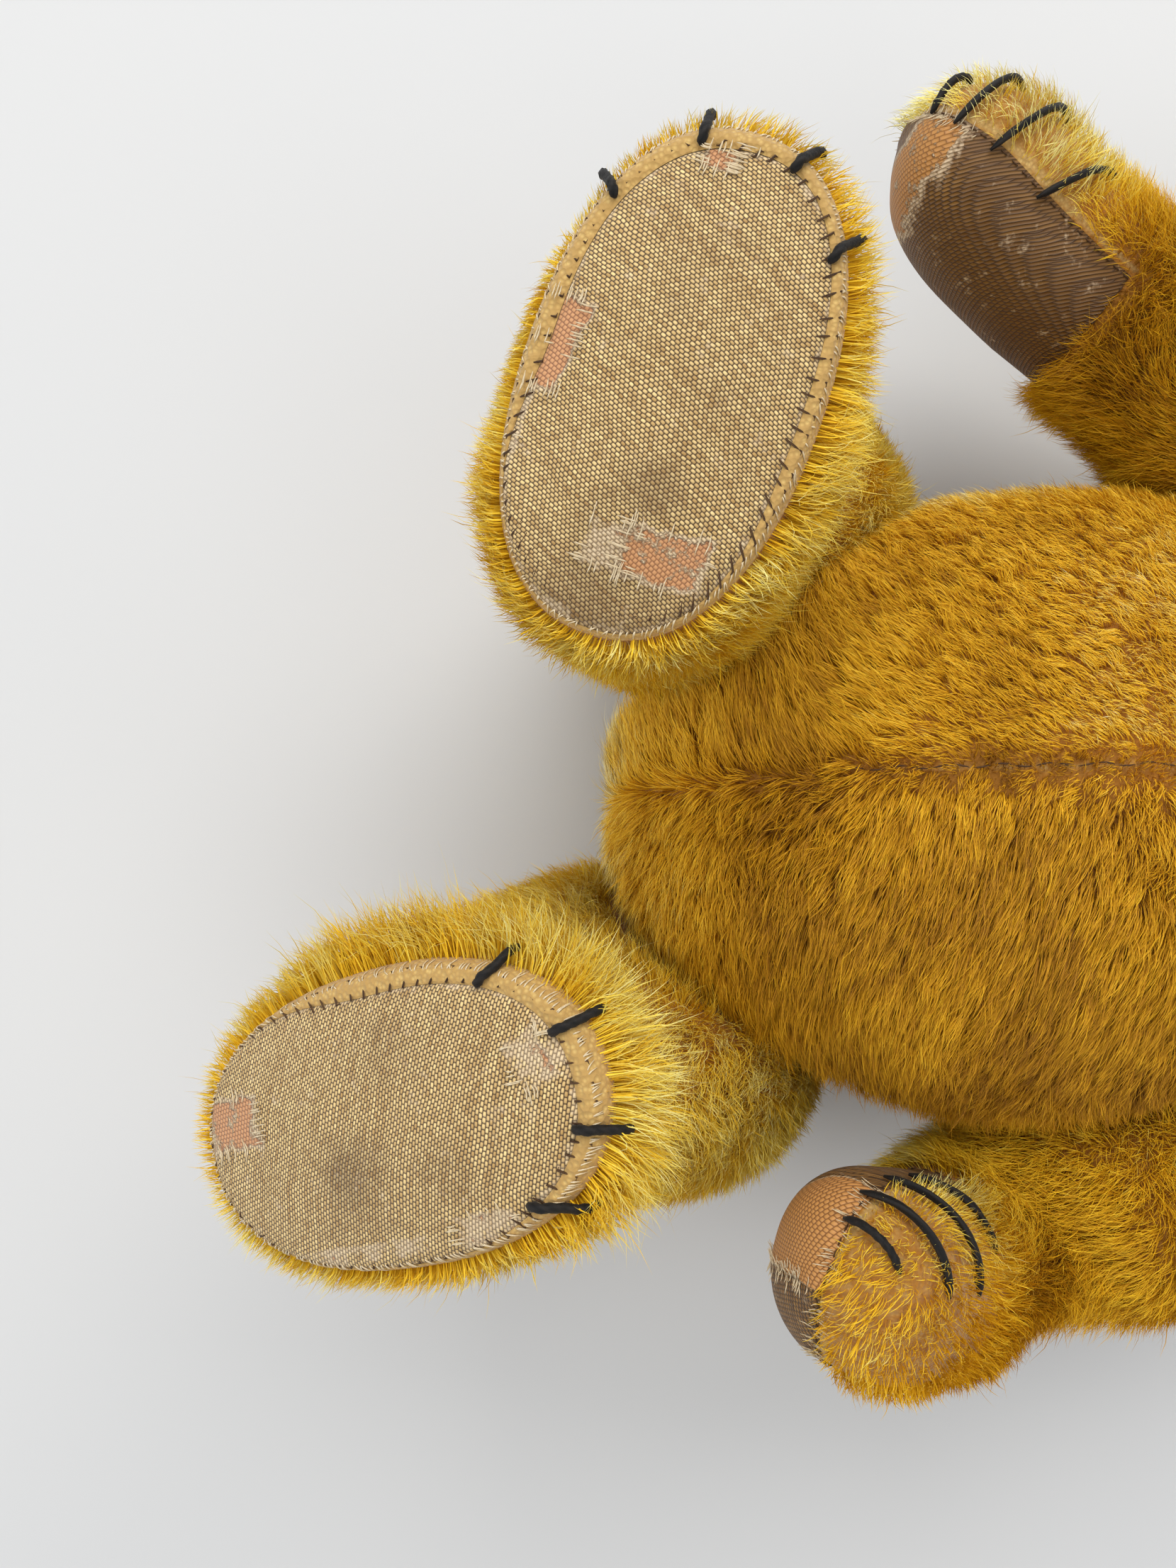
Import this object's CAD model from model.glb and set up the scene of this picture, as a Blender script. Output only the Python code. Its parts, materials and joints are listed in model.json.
import json
import math

import bmesh
import bpy
import numpy as np
from mathutils import Matrix, Vector
from mathutils.kdtree import KDTree


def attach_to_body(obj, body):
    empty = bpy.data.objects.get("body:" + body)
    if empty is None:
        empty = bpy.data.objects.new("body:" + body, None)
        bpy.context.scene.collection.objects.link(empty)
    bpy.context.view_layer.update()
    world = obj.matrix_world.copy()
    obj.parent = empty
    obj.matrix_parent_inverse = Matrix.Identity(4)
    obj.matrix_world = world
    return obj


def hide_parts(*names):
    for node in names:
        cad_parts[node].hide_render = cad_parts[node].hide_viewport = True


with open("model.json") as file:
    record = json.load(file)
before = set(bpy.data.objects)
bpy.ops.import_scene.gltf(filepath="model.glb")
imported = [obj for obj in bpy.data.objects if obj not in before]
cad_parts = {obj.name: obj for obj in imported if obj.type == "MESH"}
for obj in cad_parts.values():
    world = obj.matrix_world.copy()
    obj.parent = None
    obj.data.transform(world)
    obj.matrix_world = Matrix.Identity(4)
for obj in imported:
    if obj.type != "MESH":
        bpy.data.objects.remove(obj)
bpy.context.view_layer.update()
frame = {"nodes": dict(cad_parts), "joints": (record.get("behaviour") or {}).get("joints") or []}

RNG = np.random.default_rng(7)
MM = 0.001

# ---------------------------------------------------------------- the CAD model's shapes, in mm
JOINTS = {j["name"]: j for j in frame["joints"]}


def joint_pos(name):
    return np.array(JOINTS[name]["pos_m"], float) / MM


# Roundness of every ring: 2 is an ellipse, more is squarer
POWER = 2.25
PAD = 1.0
CROWN = 3.2
GAP = 0.4
TORSO_MID, TORSO_LEN, TORSO_DEPTH, TORSO_ROLL = 39, 146, 88, -8
HEAD_LEN = 82
ARM_LEN, ARM_T = 103, 35
LEG_LEN, LEG_T, SOLE_LEN, SOLE_W, FOOT_MID = 84, 41, 62, 37, 9.5
SHIFT = joint_pos("neck") - [0, TORSO_LEN, TORSO_MID]

# The outlines. A row is a place along the piece, then from and to across it, then from and to in
# depth. The torso and the head are the same on both sides, so their rows give half the width.
TORSO = np.array([
    [0.000, 9, 8, 8], [0.020, 19, 16, 17], [0.060, 28.5, 24, 26], [0.130, 37.5, 31, 34],
    [0.230, 45.5, 37, 40], [0.360, 51.5, 41, 43.5], [0.500, 53.5, 42, 45], [0.620, 52.5, 42, 44],
    [0.740, 48.5, 40.5, 40], [0.850, 41.5, 37, 34], [0.940, 33, 32, 28], [1.000, 26, 27, 23],
])
# The depth that the torso's rows are drawn for
DRAWN_DEPTH = 87
TORSO = np.array([
    [r[0] * TORSO_LEN, -r[1], r[1], -r[2] * TORSO_DEPTH / DRAWN_DEPTH, r[3] * TORSO_DEPTH / DRAWN_DEPTH]
    for r in TORSO
])
HEAD = np.array([
    [0.00, 24, 24, 22], [0.04, 33, 32, 30], [0.13, 41, 38, 36], [0.30, 45.5, 41.5, 39],
    [0.50, 46, 42, 39.5], [0.70, 40.5, 38, 36], [0.85, 29.5, 29, 28], [0.95, 17, 18, 17],
    [1.00, 5, 5, 5],
])
HEAD = np.array([[r[0] * HEAD_LEN, -r[1], r[1], -r[2], r[3]] for r in HEAD])
# The sizes that the limbs' rows are drawn for
DRAWN_ARM, DRAWN_LEG, DRAWN_THIGH = 98, 80, 45
ARM = np.array([
    [21, 12, 20, -5, 5], [19, 5, 26, -10, 10], [14, -2, 31, -16, 16], [5, -5, 34, -21, 20],
    [-8, -5, 35, -22, 21], [-25, -3, 34, -20, 20], [-42, 1, 32, -16, 18],
    [-58, 2, 31, -12, 19], [-72, 2, 31, -8, 23], [-84, 2.5, 31, -4, 27],
    [-92, 5, 28, 1, 27], [-96, 9, 24, 7, 24], [-98, 13, 20, 12, 19],
], float)
ARM[:, 0] *= ARM_LEN / DRAWN_ARM
LEG = np.array([
    [28, 14, 27, -7, 7], [26, 6, 34, -13, 13], [21, -3, 40, -20, 20], [12, -7, 44, -27, 27],
    [2, -8, 45.5, -29.5, 29.5], [-10, -7, 45.5, -29, 29], [-22, -4, 43.5, -27, 26],
    [-36, 1, 41, -24, 22], [-50, 2, 40, -22, 21],
], float)
LEG[:, 0] *= LEG_LEN / DRAWN_LEG
LEG[:, 1:3] *= LEG_T / DRAWN_THIGH
LEG = np.vstack([
    LEG,
    [-62 * LEG_LEN / DRAWN_LEG, LEG_T / 2 - SOLE_W * 0.51, LEG_T / 2 + SOLE_W * 0.51, -22, 27],
    [-71 * LEG_LEN / DRAWN_LEG, LEG_T / 2 - SOLE_W * 0.52, LEG_T / 2 + SOLE_W * 0.52,
     FOOT_MID - SOLE_LEN * 0.52, FOOT_MID + SOLE_LEN * 0.45],
    [-LEG_LEN, LEG_T / 2 - SOLE_W / 2, LEG_T / 2 + SOLE_W / 2,
     FOOT_MID - SOLE_LEN / 2, FOOT_MID + SOLE_LEN / 2],
])
# The thigh from its joint, and the points that the paw and the foot are turned about
THIGH_AT = np.array([0, -4, -6.0])
WRIST = np.array([ARM_T / 2 - 1, -62 * ARM_LEN / DRAWN_ARM, 4])
ANKLE = np.array([LEG_T / 2, -40.0, 0])
SOLE_MID = np.array([LEG_T / 2, FOOT_MID])
# Each joint axis's turn and dip and the limb's swing, in degrees, and how deep it is pressed in
LIMBS = {
    "left_hip": (26, 17, 57, 9), "right_hip": (35, 4, 68, 9),
    "left_shoulder": (-19, -15, 9, 5), "right_shoulder": (-36, -6, 3, 5),
}
# How far each foot or paw is turned past its ankle or wrist
SETS = {
    "left_hip": (-12, -48, 3), "right_hip": (-17, 33, -12),
    "left_shoulder": (-54, -34, 38), "right_shoulder": (6, 0, 2),
}


def spow(v, p):
    return np.sign(v) * np.abs(v) ** p


def refine(t, n):
    """n rows for each one of the outline t, along a smooth curve through its rows."""
    out = []
    for i in range(len(t) - 1):
        a, b, c, d = t[max(i - 1, 0)], t[i], t[i + 1], t[min(i + 2, len(t) - 1)]
        for k in range(n):
            u = k / n
            out.append(0.5 * (2 * b + (c - a) * u + (2 * a - 5 * b + 4 * c - d) * u * u
                              + (3 * b - a - 3 * c + d) * u ** 3))
    out.append(t[-1])
    return np.array(out)


def rings(rows, m):
    """A grid of points: m round each row."""
    a = np.arange(m) / m * 2 * np.pi
    ca, sa = spow(np.cos(a), 2 / POWER), spow(np.sin(a), 2 / POWER)
    x = (rows[:, 1:2] + rows[:, 2:3]) / 2 + (rows[:, 2:3] - rows[:, 1:2]) / 2 * ca
    z = (rows[:, 3:4] + rows[:, 4:5]) / 2 + (rows[:, 4:5] - rows[:, 3:4]) / 2 * sa
    y = np.repeat(rows[:, 0:1], m, 1)
    return np.stack([x, y, z], 2)


def turn(v, a):
    """The same turn as OpenSCAD's rotate(a); a may hold an angle triple for each point."""
    a = np.radians(np.asarray(a, float))
    ax, ay, az = a[..., 0], a[..., 1], a[..., 2]
    x, y, z = v[..., 0], v[..., 1], v[..., 2]
    y, z = y * np.cos(ax) - z * np.sin(ax), y * np.sin(ax) + z * np.cos(ax)
    x, z = x * np.cos(ay) + z * np.sin(ay), z * np.cos(ay) - x * np.sin(ay)
    x, y = x * np.cos(az) - y * np.sin(az), x * np.sin(az) + y * np.cos(az)
    return np.stack([x, y, z], -1)


def smooth(u):
    u = np.clip(u, 0, 1)
    return u * u * (3 - 2 * u)


def settle(p, joint):
    """The foot or paw turned past its ankle or wrist."""
    hip = "hip" in joint
    pivot = ANKLE if hip else WRIST
    start, full = (-20.0, -64.0) if hip else (-30.0, -74.0)
    w = smooth((start - p[..., 1]) / (start - full))
    return pivot + turn(p - pivot, w[..., None] * np.array(SETS[joint]))


def place(p, joint, direction=False):
    """From a limb's own frame to the row frame."""
    turn_z, dip, swing, _ = LIMBS[joint]
    if "hip" in joint and not direction:
        p = p + THIGH_AT
    q = turn(p, (-swing, dip, -turn_z))
    if joint.startswith("right"):
        q = q * np.array([-1, 1, 1])
    return q if direction else q + joint_pos(joint)


def on_limb(p, joint):
    return place(settle(p, joint), joint)


def left_axis(joint):
    """The way a joint's axis points away from the torso, as it would on the left."""
    t, d = np.radians(LIMBS[joint][0]), np.radians(LIMBS[joint][1])
    return np.array([np.cos(d) * np.cos(t), -np.cos(d) * np.sin(t), -np.sin(d)])


def inward(joint):
    """The way from a limb's joint to the middle of the body."""
    return np.array([-1.0, 0, 0]) if joint.startswith("left") else np.array([1.0, 0, 0])


def lying(p):
    return turn(p, (0, TORSO_ROLL, 0)) + [0, 0, TORSO_MID]


def pressing_planes():
    """Where each limb, and last the table, presses the torso flat: a plane's normal and distance."""
    coarse = lying(rings(refine(TORSO, 2), 48)).reshape(-1, 3)
    planes = []
    for joint, (_, _, _, depth) in LIMBS.items():
        left = left_axis(joint)
        axis = left * [-1, 1, 1] if joint.startswith("right") else left
        planes.append((axis, (coarse @ left).max() - depth - GAP))
    return planes + [(np.array([0, 0, -1.0]), 0.0)]


PLANES = pressing_planes()
# Room under the skin for the pile that the bear lies on
PRESSED_PILE = 0.9
# Sizes of the rings that close an open end
CAP_RINGS = (0.06, 0.4, 0.75)


def press(p, n, d):
    """Moves what is past the plane back to it, without moving it along the body."""
    over = np.maximum(0, p @ n - d) / (n[0] ** 2 + n[2] ** 2)
    return p - over[..., None] * np.array([n[0], 0, n[2]])


def torso_grid(fine, m):
    p = lying(rings(refine(TORSO, fine), m))
    for n, d in PLANES:
        p = press(p, n, d)
    p[..., 2] = np.maximum(p[..., 2], PRESSED_PILE)
    return capped(p) + SHIFT


def capped(p):
    """The grid with its first end closed by smaller and smaller rings, so that pile grows there too."""
    middle = p[0].mean(0)
    return np.concatenate([np.stack([middle + (p[0] - middle) * t for t in CAP_RINGS]), p])


def limb_local(rows, fine, m):
    p = rings(refine(rows, fine), m)
    p[..., 0] = np.maximum(p[..., 0], 0)
    return capped(p)


# ---------------------------------------------------------------- small numeric helpers
def wave_noise(p, scale, seed, terms=9):
    """Smooth noise, about -1 to 1, with features about scale mm across."""
    r = np.random.default_rng(seed)
    total = np.zeros(p.shape[:-1])
    for _ in range(terms):
        k = r.normal(size=3)
        k *= 2 * np.pi / scale / np.linalg.norm(k) * r.uniform(0.35, 1.0)
        total += np.sin(p @ k + r.uniform(0, 6.28))
    return total / terms ** 0.5


def wave_field(p, scale, seed):
    return np.stack([wave_noise(p, scale, seed + k) for k in range(3)], -1)


def norm(v):
    return np.linalg.norm(v, axis=-1)


def unit(v):
    return v / (np.linalg.norm(v, axis=-1, keepdims=True) + 1e-12)


def run_length(path):
    """Distance along a path of points, from 0."""
    return np.concatenate([[0], np.cumsum(norm(np.diff(path, axis=0)))])


def grid_normals(p, wrap=True):
    """Unit normals of a grid that point away from its middle."""
    if wrap:
        du = np.roll(p, -1, 1) - np.roll(p, 1, 1)
    else:
        du = np.gradient(p, axis=1)
    n = unit(np.cross(du, np.gradient(p, axis=0)))
    outward = p - p.mean((0, 1))
    return n if (n * outward).sum() > 0 else -n


# ---------------------------------------------------------------- node materials
class Graph:
    """A short way to write a node material."""

    def __init__(self, name):
        self.mat = bpy.data.materials.new(name)
        self.mat.use_nodes = True
        self.tree = self.mat.node_tree
        self.bsdf = self.tree.nodes["Principled BSDF"]

    def put(self, socket, value):
        if isinstance(value, bpy.types.NodeSocket):
            self.tree.links.new(value, socket)
        else:
            socket.default_value = value

    def node(self, kind, **inputs):
        n = self.tree.nodes.new(kind)
        for key, value in inputs.items():
            self.put(n.inputs[key.replace("_", " ")], value)
        return n

    def math(self, op, a, b=None, c=None):
        n = self.tree.nodes.new("ShaderNodeMath")
        n.operation = op
        for i, v in enumerate((a, b, c)):
            if v is not None:
                self.put(n.inputs[i], v)
        return n.outputs[0]

    def mix(self, fac, a, b):
        n = self.tree.nodes.new("ShaderNodeMix")
        n.data_type = "RGBA"
        for i, v in ((0, fac), (6, a), (7, b)):
            self.put(n.inputs[i], v)
        return n.outputs[2]

    def noise(self, scale, detail, vector=None):
        n = self.node("ShaderNodeTexNoise", Scale=scale, Detail=detail, Roughness=0.55)
        self.put(n.inputs["Vector"], vector or self.place())
        return n.outputs["Fac"]

    def place(self):
        """A vector in metres that rides with the piece."""
        return self.node("ShaderNodeTexCoord").outputs["Object"]

    def attribute(self, name, output="Fac"):
        n = self.tree.nodes.new("ShaderNodeAttribute")
        n.attribute_name = name
        return n.outputs[output]

    def stretch(self, value, low, high):
        n = self.tree.nodes.new("ShaderNodeMapRange")
        n.interpolation_type = "SMOOTHSTEP"
        for i, v in enumerate((value, low, high)):
            self.put(n.inputs[i], v)
        return n.outputs[0]

    def bump(self, height, distance, strength):
        return self.node("ShaderNodeBump", Strength=strength, Distance=distance, Height=height).outputs[0]

    def finish(self, **values):
        for key, value in values.items():
            self.put(self.bsdf.inputs[key.replace("_", " ")], value)
        return self.mat


def srgb(r, g, b):
    def lin(c):
        c /= 255
        return c / 12.92 if c <= 0.04045 else ((c + 0.055) / 1.055) ** 2.4
    return (lin(r), lin(g), lin(b), 1.0)


# Tones of the pile from the deep roots to the bleached tips
TONES = [
    (112, 70, 8), (135, 87, 9), (157, 105, 12), (178, 123, 15), (197, 141, 19),
    (213, 157, 24), (226, 172, 30), (236, 185, 38), (241, 196, 56), (240, 206, 88),
    (238, 214, 126), (241, 226, 170),
]


def pile_material(k, tone):
    """One tone of mohair; the roughness and the slight crimp of the fibres vary along them."""
    g = Graph("mohair_%02d" % k)
    n = g.noise(900.0, 2.0)
    return g.finish(
        Base_Color=srgb(*tone), Roughness=g.math("MULTIPLY_ADD", n, 0.35, 0.45),
        Sheen_Weight=0.06, Sheen_Roughness=0.4, Sheen_Tint=srgb(255, 214, 110),
        Specular_IOR_Level=0.22,
    )


# The limbs have bleached to a yellower shade than the body
LIMB_TONES = [(r, round(g * 1.02), round(b * 0.9)) for r, g, b in TONES]
PILE = {
    "body": [pile_material(k, t) for k, t in enumerate(TONES)],
    "limb": [pile_material(k + len(TONES), t) for k, t in enumerate(LIMB_TONES)],
}


def weave_height(g, u, v):
    """Ovals of thread in a brick order: the height, 0 to 1, and the numbers of the row and oval."""
    row = g.math("FLOOR", v)
    across = g.math("MULTIPLY_ADD", row, 0.5, u)
    oval = g.math(
        "MULTIPLY",
        g.math("ABSOLUTE", g.math("SINE", g.math("MULTIPLY", across, math.pi))),
        g.math("ABSOLUTE", g.math("SINE", g.math("MULTIPLY", v, math.pi))),
    )
    return g.math("POWER", oval, 0.45), row, g.math("FLOOR", across)


def thread_tint(g, row, cell, seed):
    """A random number for each oval."""
    key = g.node("ShaderNodeCombineXYZ", X=row, Y=cell, Z=seed).outputs[0]
    return g.node("ShaderNodeTexWhiteNoise", Vector=key).outputs["Value"]


def pad_material(name, light, dark, gap, under, under_gap, pitch, angle, gloss=0.42, sheen=0.15):
    """Pad cloth worn through in places to a peach under-cloth; u and v are in mm."""
    g = Graph(name)
    sep = g.node("ShaderNodeSeparateXYZ", Vector=g.attribute("weft", "Vector"))
    wob = g.math("MULTIPLY_ADD", g.noise(110.0, 2.0), 0.9, -0.45)
    c, s = math.cos(math.radians(angle)), math.sin(math.radians(angle))
    x = g.math("ADD", sep.outputs[0], wob)
    y = g.math("ADD", sep.outputs[1], wob)
    u = g.math("ADD", g.math("MULTIPLY", x, c), g.math("MULTIPLY", y, s))
    v = g.math("SUBTRACT", g.math("MULTIPLY", y, c), g.math("MULTIPLY", x, s))
    h, row, cell = weave_height(g, g.math("DIVIDE", u, pitch[0]), g.math("DIVIDE", v, pitch[1]))
    # The under-cloth has a finer and steeper weave
    h2 = weave_height(
        g, g.math("DIVIDE", u, pitch[0] * 0.82), g.math("DIVIDE", v, pitch[1] * 1.25)
    )[0]
    tint = thread_tint(g, row, cell, 1.0)
    streak = thread_tint(g, row, 0.0, 5.0)
    body = g.mix(g.math("MULTIPLY_ADD", tint, 0.6, g.math("MULTIPLY", streak, 0.4)), dark, light)
    body = g.mix(g.stretch(h, 0.25, 0.85), gap, body)
    dirt = g.attribute("dirt")
    stain = g.math("ADD", dirt, g.math("MULTIPLY_ADD", g.noise(95.0, 5.0), 1.5, -0.8))
    body = g.mix(g.stretch(stain, 0.0, 1.1), body, g.mix(0.66, body, srgb(92, 60, 22)))
    ragged = g.math(
        "ADD",
        g.math("MULTIPLY_ADD", g.noise(1500.0, 2.0), 0.7, -0.35),
        g.math("MULTIPLY_ADD", g.noise(330.0, 2.0), 1.1, -0.55),
    )
    worn = g.math("ADD", g.attribute("worn"), ragged)
    pale = g.stretch(worn, 0.12, 0.5)
    bare = g.stretch(worn, 0.52, 0.7)
    body = g.mix(g.math("MULTIPLY", pale, 0.75), body, g.mix(h, srgb(170, 138, 100), srgb(226, 204, 170)))
    cloth = g.mix(g.stretch(h2, 0.2, 0.85), under_gap, under)
    cloth = g.mix(g.math("MULTIPLY", dirt, 0.5), cloth, srgb(150, 98, 26))
    body = g.mix(bare, body, cloth)
    height = g.math("ADD", g.math("MULTIPLY", h, g.math("SUBTRACT", 1.0, bare)),
                    g.math("MULTIPLY", g.math("MULTIPLY", h2, bare), 0.7))
    height = g.math("SUBTRACT", height, g.math("MULTIPLY", bare, 1.6))
    rough = g.math("MULTIPLY_ADD", g.noise(60.0, 3.0), 0.25, gloss)
    return g.finish(
        Base_Color=body, Roughness=rough, Normal=g.bump(height, 0.00022, 1.0),
        Sheen_Weight=sheen, Specular_IOR_Level=0.4,
    )


SOLE = pad_material("sole_cloth", srgb(244, 212, 146), srgb(180, 140, 78), srgb(80, 53, 22),
                    srgb(204, 148, 100), srgb(158, 104, 68), pitch=(0.72, 0.44), angle=-24)
PAW = pad_material("paw_cloth", srgb(160, 116, 52), srgb(106, 70, 24), srgb(56, 34, 8),
                   srgb(206, 148, 84), srgb(142, 92, 46), pitch=(0.72, 0.6), angle=4, gloss=0.4,
                   sheen=0.04)


def backing_material():
    """Woven backing of the mohair: dark where the pile hides it, pale and bare along the pads."""
    g = Graph("mohair_backing")
    co = g.place()
    bald = g.stretch(
        g.math("ADD", g.attribute("bald"), g.math("MULTIPLY_ADD", g.noise(700.0, 2.0, co), 0.5, -0.25)),
        0.3, 0.65,
    )
    patch = g.noise(55.0, 4.0, co)
    hidden = g.mix(patch, srgb(140, 88, 14), srgb(186, 126, 30))
    fine = g.node("ShaderNodeTexVoronoi", Scale=1500.0, Vector=co).outputs["Distance"]
    shown = g.mix(g.noise(320.0, 3.0, co), srgb(178, 136, 66), srgb(222, 190, 118))
    shown = g.mix(g.stretch(fine, 0.1, 0.6), shown, srgb(180, 142, 78))
    return g.finish(Base_Color=g.mix(bald, hidden, shown), Roughness=0.85,
                    Normal=g.bump(fine, 0.0003, 0.9), Sheen_Weight=0.2)


BACKING = backing_material()


def thread_material(name, dark, light):
    g = Graph(name)
    ply = g.attribute("ply")
    n = g.noise(2600.0, 3.0)
    return g.finish(
        Base_Color=g.mix(g.math("MULTIPLY", ply, n), dark, light),
        Roughness=g.math("MULTIPLY_ADD", n, 0.3, 0.5),
        Normal=g.bump(n, 0.00012, 0.8), Sheen_Weight=0.05, Specular_IOR_Level=0.25,
    )


BLACK_THREAD = thread_material("claw_thread", srgb(8, 7, 7), srgb(44, 38, 34))
SEAM_THREAD = thread_material("seam_thread", srgb(48, 30, 16), srgb(120, 84, 48))
PALE_THREAD = thread_material("frayed_thread", srgb(196, 172, 132), srgb(244, 232, 204))


def plain_material(name, a, b, scale, rough, metal=0.0, bump=0.00005):
    g = Graph(name)
    n = g.noise(scale, 5.0)
    return g.finish(
        Base_Color=g.mix(n, a, b), Roughness=g.math("MULTIPLY_ADD", n, 0.25, rough),
        Metallic=metal, Normal=g.bump(n, bump, 0.6),
    )


FIBRE = plain_material("fibreboard", srgb(122, 84, 52), srgb(166, 124, 82), 240.0, 0.7)
STEEL = plain_material("plain_steel", srgb(120, 118, 114), srgb(176, 174, 170), 500.0, 0.28, 1.0)
GLASS = plain_material("eye_glass", srgb(8, 5, 4), srgb(26, 15, 9), 60.0, 0.04, 0.0, 0.00001)
GLASS.node_tree.nodes["Principled BSDF"].inputs["Coat Weight"].default_value = 1.0


# ---------------------------------------------------------------- meshes
def new_object(name, mesh, materials):
    for m in materials:
        mesh.materials.append(m)
    mesh.polygons.foreach_set("use_smooth", np.ones(len(mesh.polygons), bool))
    o = bpy.data.objects.new(name, mesh)
    bpy.context.scene.collection.objects.link(o)
    return o


def grid_mesh(name, p, materials, wrap=True, close=(False, False), attributes=None, vectors=None):
    """A skin through a grid of points in mm, its ends closed by a fan where asked."""
    n, m, _ = p.shape
    verts = p.reshape(-1, 3)
    cols = m if wrap else m - 1
    i, j = np.meshgrid(np.arange(n - 1), np.arange(cols), indexing="ij")
    a, b = i * m + j, i * m + (j + 1) % m
    faces = np.stack([a, b, b + m, a + m], 2).reshape(-1, 4).tolist()
    extra = []
    for end, row in zip(close, (0, n - 1)):
        if end:
            extra.append(p[row].mean(0))
            c = n * m + len(extra) - 1
            ring = [row * m + k for k in range(m)]
            for k in range(m):
                t = (ring[k], ring[(k + 1) % m], c)
                faces.append(t if row else t[::-1])
    if extra:
        verts = np.vstack([verts, extra])
    mesh = bpy.data.meshes.new(name)
    mesh.from_pydata((verts * MM).tolist(), [], faces)
    for key, values in (attributes or {}).items():
        v = np.concatenate([np.ravel(values), np.zeros(len(extra))]).astype(np.float32)
        mesh.attributes.new(key, "FLOAT", "POINT").data.foreach_set("value", v)
    for key, values in (vectors or {}).items():
        v = np.vstack([values.reshape(-1, 3), np.zeros((len(extra), 3))]).astype(np.float32)
        mesh.attributes.new(key, "FLOAT_VECTOR", "POINT").data.foreach_set("vector", v.ravel())
    mesh.update()
    return new_object(name, mesh, materials)


def fix_normals(o):
    bm = bmesh.new()
    bm.from_mesh(o.data)
    bmesh.ops.recalc_face_normals(bm, faces=bm.faces)
    bm.to_mesh(o.data)
    bm.free()
    return o


PLIES, TWIST, PLY_DEPTH = 3, 4.4, 0.16


def tube_mesh(name, paths, radius, material, sides):
    """Twisted threads: each path is a list of points in mm, each thread a closed tube."""
    verts, faces, ply = [], [], []
    for path in paths:
        path = np.asarray(path, float)
        t = unit(np.gradient(path, axis=0))
        ref = np.array([0.31, 0.42, 0.85])
        a1 = unit(np.cross(t, ref))
        a2 = np.cross(t, a1)
        length = run_length(path)
        base = len(verts)
        k = len(path)
        for i in range(k):
            end = min(i, k - 1 - i)
            taper = (0.35, 0.85)[end] if end < 2 else 1.0
            for s in range(sides):
                th = 2 * math.pi * s / sides
                wave = math.cos(PLIES * th - TWIST * length[i])
                r = radius * taper * (1 + PLY_DEPTH * wave)
                verts.append(path[i] + r * (math.cos(th) * a1[i] + math.sin(th) * a2[i]))
                ply.append(0.5 + 0.5 * wave)
        for i in range(k - 1):
            for s in range(sides):
                a, b = base + i * sides + s, base + i * sides + (s + 1) % sides
                faces.append((a, b, b + sides, a + sides))
        faces.append(tuple(base + s for s in range(sides - 1, -1, -1)))
        faces.append(tuple(base + (k - 1) * sides + s for s in range(sides)))
    mesh = bpy.data.meshes.new(name)
    mesh.from_pydata((np.array(verts) * MM).tolist(), [], faces)
    mesh.attributes.new("ply", "FLOAT", "POINT").data.foreach_set("value", np.array(ply, np.float32))
    mesh.update()
    return fix_normals(new_object(name, mesh, [material]))


# Where a fibre's faces begin along it, and how wide it is there
STATIONS = ((0.0, 1.0), (0.34, 0.95), (0.7, 0.62))
# No fibre goes below this height, in mm
TABLE = 0.3


def strands_mesh(name, root, mid, tip, width, normal, tone, shade):
    """Tapered flat fibres along quadratic arcs: three faces each, a darker root and a paler tip."""
    k = len(root)
    pts = []
    face_dir = unit(np.cross(tip - root, normal + RNG.normal(0, 0.35, (k, 3))))
    for s, w in STATIONS:
        c = (1 - s) ** 2 * root + 2 * s * (1 - s) * mid + s * s * tip
        half = face_dir * (width * w / 2)[:, None]
        pts += [c - half, c + half]
    pts.append(tip)
    v = np.stack(pts, 1)
    v[..., 2] = np.maximum(v[..., 2], TABLE)
    base = np.arange(k)[:, None] * 7
    loops = (base + np.array([0, 1, 3, 2, 2, 3, 5, 4, 4, 5, 6])).ravel()
    starts = (np.arange(k)[:, None] * 11 + np.array([0, 4, 8])).ravel()
    index = np.stack([tone - 1, tone, tone + 1], 1)
    index = np.clip(index, 0, len(TONES) - 1).astype(np.int32)
    mesh = bpy.data.meshes.new(name)
    mesh.vertices.add(k * 7)
    mesh.vertices.foreach_set("co", (v * MM).astype(np.float32).ravel())
    mesh.loops.add(k * 11)
    mesh.loops.foreach_set("vertex_index", loops.astype(np.int32))
    mesh.polygons.add(k * 3)
    mesh.polygons.foreach_set("loop_start", starts.astype(np.int32))
    for m in PILE[shade]:
        mesh.materials.append(m)
    mesh.polygons.foreach_set("material_index", index.ravel())
    mesh.update(calc_edges=True)
    o = bpy.data.objects.new(name, mesh)
    bpy.context.scene.collection.objects.link(o)
    return o


# ---------------------------------------------------------------- pile
STRANDS_A_PIECE = 39000
COUNT_SCALE = 1.0
# A few fibres are longer than the rest
LONG_SHARE, LONG_STRETCH = 0.02, 1.45


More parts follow.
